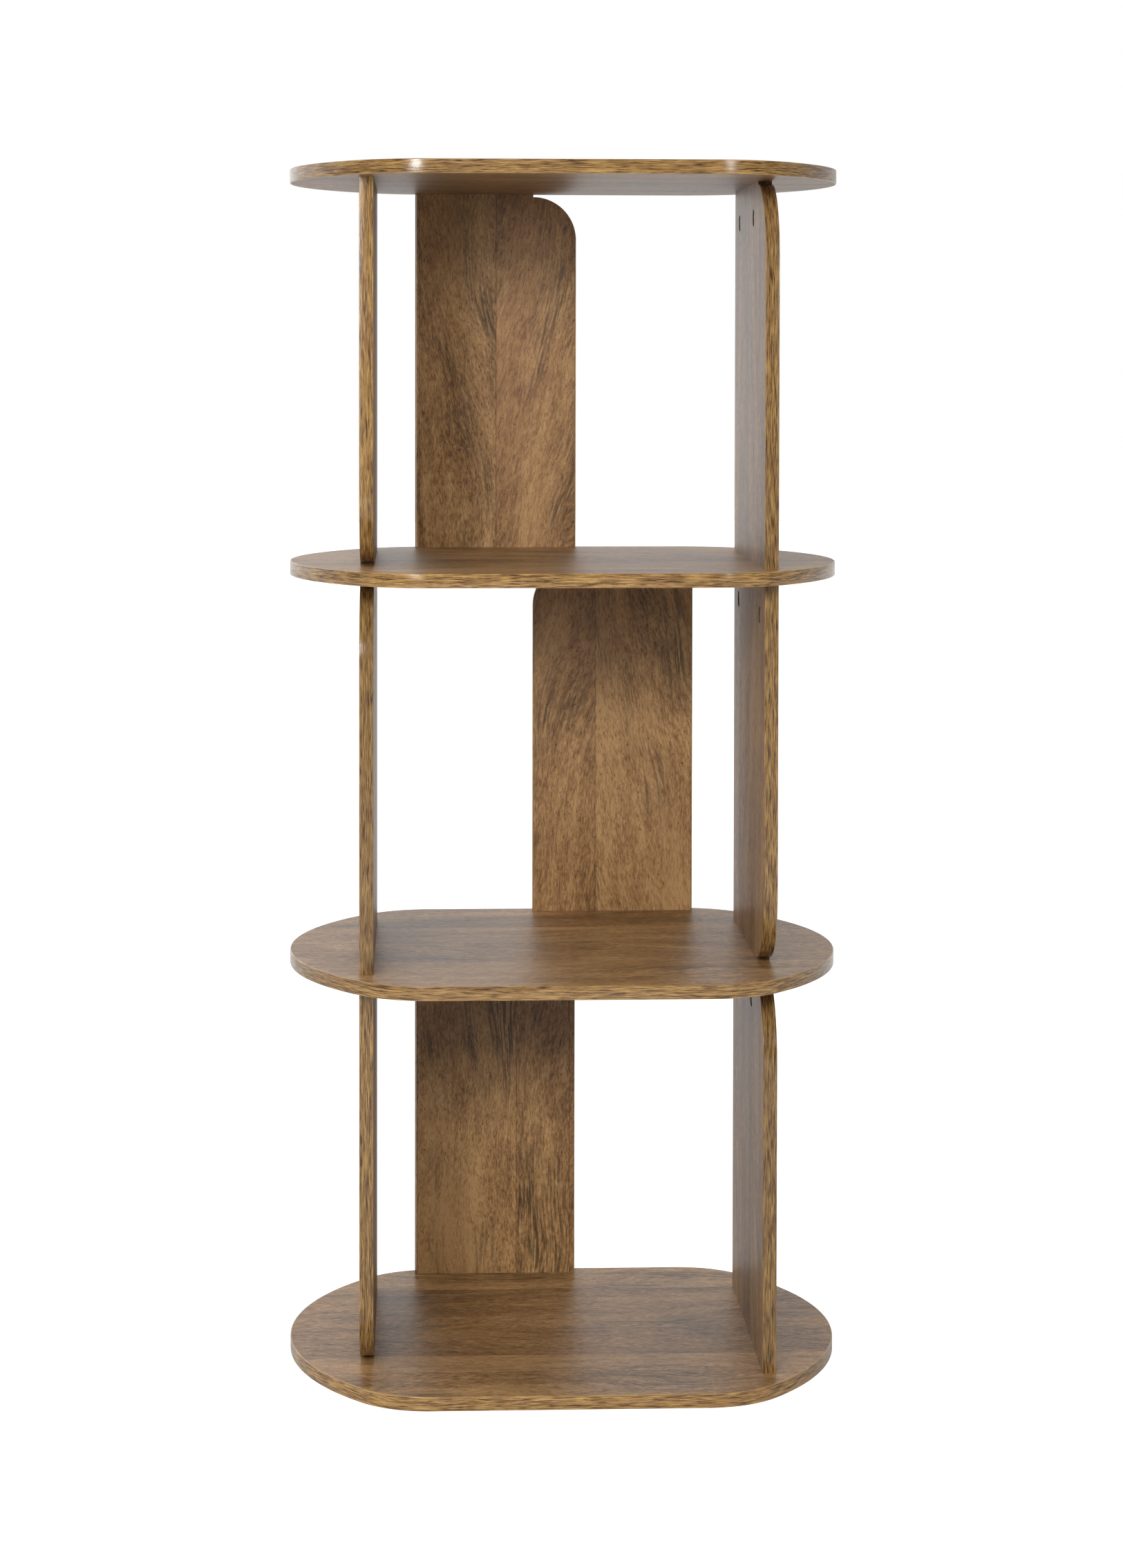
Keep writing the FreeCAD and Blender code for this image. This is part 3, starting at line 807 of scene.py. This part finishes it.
reach = maths(tree, "ADD", given["Drum Radius"], overrun)
half_reach = maths(tree, "MULTIPLY", reach, 0.5)
both_ways = maths(tree, "MULTIPLY", reach, 2.0)
full_depth = maths(tree, "ADD", given["Drum Depth"], overrun)
hollow = maths(tree, "SUBTRACT", full_depth, given["Face Thickness"])
hollow_radius = maths(tree, "SUBTRACT", given["Drum Radius"], given["Wall"])
cross_height = maths(tree, "ADD", given["Cross Depth"], overrun)
arrow_height = maths(tree, "ADD", given["Arrow Depth"], overrun)
from_rim = maths(tree, "MULTIPLY", given["Arrow Radius"], 1.35)
arrow_place = maths(tree, "SUBTRACT", given["Drum Radius"], from_rim)
arrow = rod(given["Arrow Radius"], arrow_height, -overrun, 3, math.pi / 2)
cuts = (
    block(given["Cross Length"], given["Cross Width"], cross_height, 0.0, 0.0, -overrun),
    block(given["Cross Width"], given["Cross Length"], cross_height, 0.0, 0.0, -overrun),
    moved(arrow, Translation=vector(tree, 0.0, arrow_place, 0.0)),
    rod(hollow_radius, hollow, given["Face Thickness"]),
    block(reach, given["Mouth Width"], hollow, half_reach, 0.0, given["Face Thickness"]),
    block(both_ways, reach, given["Slot Width"], 0.0, half_reach, given["Slot Start"]),
)
all_cuts = add(tree, "GeometryNodeMeshBoolean", {"operation": "UNION", "solver": "EXACT"})
for cut in cuts:
    tree.links.new(cut, all_cuts.inputs["Mesh 2"])
cam = add(tree, "GeometryNodeMeshBoolean", {"operation": "DIFFERENCE", "solver": "EXACT"},
          Mesh_1=chamfered.outputs["Geometry"])
tree.links.new(all_cuts.outputs["Mesh"], cam.inputs["Mesh 2"])
facing = add(tree, "GeometryNodeInputNamedAttribute", {"data_type": "FLOAT_VECTOR"}, Name="facing")
facing = add(tree, "FunctionNodeEulerToRotation", Euler=facing.outputs["Attribute"])
placed = add(tree, "GeometryNodeInstanceOnPoints", Points=given["Places"],
             Instance=cam.outputs["Mesh"], Rotation=facing.outputs[0])
real = add(tree, "GeometryNodeRealizeInstances", Geometry=placed.outputs[0])
painted = add(tree, "GeometryNodeSetMaterial", Geometry=real.outputs[0], Material=given["Material"])
tree.links.new(painted.outputs[0], result["Cams"])
print("cam tree", len(tree.nodes), "nodes")

# %% [markdown]
# Each panel has two cams, 30 mm below its top. On the side panels they sit further in from the
# edges than on the back panels. Their faces lie a little below the board's face, so a rim of
# chipboard shows round each one, painted dark as shade in the hole. Each tier's cams are one piece,
# like the CAD node they replace.

# %% Place the cams
cam_recess = 0.0009
cam_below_top = 0.030
side_cam_insets = (0.042, 0.038)  # from the straight edge, and from the rounded corner's start
back_cam_insets = (0.025, 0.025)
cam_crease = 30  # degrees
for tier in tiers:
    places, turns = [], []
    for name, (origin, across, through, width, height, radius) in panel_frames.items():
        if not name.startswith(tier):
            continue
        from_edge, from_corner = back_cam_insets if name in back_rolls else side_cam_insets
        last = width - radius - from_corner if name in rounded_top else width - from_edge
        axes = Matrix((up.cross(through), up, through)).transposed()
        for inset in (from_edge, last):
            on_face = origin + across * inset + up * (height - cam_below_top)
            places.append(on_face + through * cam_recess)
            turns.append(axes.to_euler())
    points = bpy.data.meshes.new(f"{tier}_cam_places")
    points.from_pydata(places, [], [])
    stored_turns = points.attributes.new("facing", "FLOAT_VECTOR", "POINT")
    for entry, turn in zip(stored_turns.data, turns):
        entry.vector = turn
    mesh = run_tree(points, cam_tree, {**cam_inputs, "Material": cast_zinc})
    mesh.shade_smooth()
    mesh.set_sharp_from_angle(angle=math.radians(cam_crease))
    as_piece(f"{tier}_cams", mesh, "cam_zinc", f"{tier}_tier_cams")
    print(f"{tier}_cams", len(places), "cams", len(mesh.polygons), "faces")

# %% [markdown]
# ## Floor, backdrop and light
#
# The unit stands on a plain white floor in a white studio. Lighting a real floor until it turns
# pure white would wash out the wood. Light Path tells the camera's rays from the others, so the
# floor and the world look pure white to the camera while the light that falls on the unit stays at
# a plain level. To the lamps the floor is a mid grey, so it throws little light up under the
# shelves.

# %% Floor
floor_half = 14.0
floor_gap = 0.0002  # under the base shelf
floor_grey = 0.6
floor_glow = 0.8  # added for the camera, where 1 is white
near_glow, far_glow = 0.1, 0.52  # added in reflections, under the unit and well behind it

floor_mesh = bpy.data.meshes.new("floor")
corners = [(-1, -1), (1, -1), (1, 1), (-1, 1)]
corners = [(x * floor_half, y * floor_half, -floor_gap) for x, y in corners]
floor_mesh.from_pydata(corners, [], [(0, 1, 2, 3)])
floor = bpy.data.objects.new("floor", floor_mesh)
bpy.context.collection.objects.link(floor)
floor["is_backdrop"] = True

white_floor = bpy.data.materials.new("white floor")
white_floor.use_nodes = True
tree = white_floor.node_tree
tree.nodes.clear()
ray = add(tree, "ShaderNodeLightPath").outputs
reflected = maths(tree, "MAXIMUM", ray["Is Glossy Ray"], ray["Is Transmission Ray"])
spot = add(tree, "ShaderNodeTexCoord").outputs["Object"]
floor_place = add(tree, "ShaderNodeSeparateXYZ", Vector=spot).outputs
rear_glow = spread(tree, floor_place["Y"], 0.0, 3.0, near_glow, far_glow)
glow_strength = maths(tree, "ADD", maths(tree, "MULTIPLY", ray["Is Camera Ray"], floor_glow),
                      maths(tree, "MULTIPLY", reflected, rear_glow))
paint = add(tree, "ShaderNodeBsdfDiffuse", Color=(floor_grey, floor_grey, floor_grey, 1))
glow = add(tree, "ShaderNodeEmission", Color=(1, 1, 1, 1), Strength=glow_strength)
both = add(tree, "ShaderNodeAddShader", _0=paint.outputs[0], _1=glow.outputs[0])
add(tree, "ShaderNodeOutputMaterial", Surface=both.outputs[0])
floor_mesh.materials.append(white_floor)
print("floor", 2 * floor_half, "m square")

# %% [markdown]
# The world's light is dim in front and brighter above and at the left rear, which gives the
# undersides and the back panels their deep shade. Smooth faces mirror a backdrop of their own,
# which fades from left to right. A gradient picture on the world would do as much, but these few
# nodes keep every level a plain number.

# %% World
front_fill, rear_fill = 0.05, 0.30  # light on the unit
left_fill, high_fill = 1.20, 0.55  # added from the left rear and from above
left_sheen, right_sheen = 1.22, 0.62  # what smooth faces reflect of the backdrop, where 1 is white
front_sheen = 0.05
world = bpy.data.worlds.new("studio")
bpy.context.scene.world = world
world.use_nodes = True
tree = world.node_tree
tree.nodes.clear()
ray = add(tree, "ShaderNodeLightPath").outputs
towards = add(tree, "ShaderNodeTexCoord").outputs["Generated"]
direction = add(tree, "ShaderNodeSeparateXYZ", Vector=towards).outputs
rearward = spread(tree, direction["Y"], -0.35, 0.15)
from_left = spread(tree, direction["X"], -0.1, -0.8, 0.0, left_fill)
fill = spread(tree, rearward, 0.0, 1.0, front_fill, rear_fill)
fill = maths(tree, "ADD", fill, maths(tree, "MULTIPLY", rearward, from_left))
fill = maths(tree, "ADD", fill, spread(tree, direction["Z"], 0.1, 0.9, 0.0, high_fill))
backdrop = spread(tree, direction["X"], -0.10, 0.25, left_sheen, right_sheen)
behind = spread(tree, direction["Y"], 0.1, 0.6)
sheen = maths(tree, "ADD", front_sheen, maths(tree, "MULTIPLY", behind, backdrop))
reflected = maths(tree, "MAXIMUM", ray["Is Glossy Ray"], ray["Is Transmission Ray"])
light = add(tree, "ShaderNodeBackground", Color=(1, 1, 1, 1), Strength=fill)
gloss = add(tree, "ShaderNodeBackground", Color=(1, 1, 1, 1), Strength=sheen)
white = add(tree, "ShaderNodeBackground", Color=(1, 1, 1, 1), Strength=1.0)
both = add(tree, "ShaderNodeMixShader", _0=reflected, _1=light.outputs[0], _2=gloss.outputs[0])
seen = add(tree, "ShaderNodeMixShader", _0=ray["Is Camera Ray"], _1=both.outputs[0],
           _2=white.outputs[0])
add(tree, "ShaderNodeOutputWorld", Surface=seen.outputs[0])
print("world", len(tree.nodes), "nodes")

# %% [markdown]
# Two tall softboxes stand left and right of the camera and make the bright streaks where the top
# shelf's banding turns. Most of the light comes from a broad one in front. Larger side lamps could
# do its work, but then the streaks would be wide. The broad one is kept out of reflections, because
# the flat front edges would mirror all of it.

# %% Softboxes
def softbox(name, turn, distance, low, high, width, power):
    """A softbox, turned about the unit's front from straight ahead, upright and facing the unit."""
    data = bpy.data.lights.new(name, "AREA")
    data.shape = "RECTANGLE"
    data.size, data.size_y = width, high - low
    data.energy = power
    lamp = bpy.data.objects.new(name, data)
    bpy.context.collection.objects.link(lamp)
    turn = math.radians(turn)
    way = Vector((-math.sin(turn), math.cos(turn), 0))
    place = Vector((0, -half_depth, (low + high) / 2)) - distance * way
    facing_unit = way.to_track_quat("-Z", "Y").to_matrix().to_4x4()
    lamp.matrix_world = Matrix.Translation(place) @ facing_unit
    return lamp


softbox("left softbox", turn=-21.5, distance=3.0, low=0.95, high=1.95, width=0.55, power=46)
softbox("right softbox", turn=28.5, distance=3.0, low=0.95, high=1.95, width=0.42, power=17)
front_softbox = softbox(
    "front softbox", turn=-6, distance=4.0, low=1.6, high=2.5, width=1.8, power=78)
front_softbox.visible_glossy = False
print("front softbox at", tuple(round(c, 2) for c in front_softbox.matrix_world.translation))
bpy.context.scene.view_settings.view_transform = "Standard"

# %% [markdown]
# ## Sizes
#
# What was made anew must not reach past the CAD model, so the box of everything is measured again
# and kept beside the first one.

# %% Sizes
size = {"cad": [list(corner) for corner in cad_box], "visual": [list(corner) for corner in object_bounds()]}
print("sizes", size)
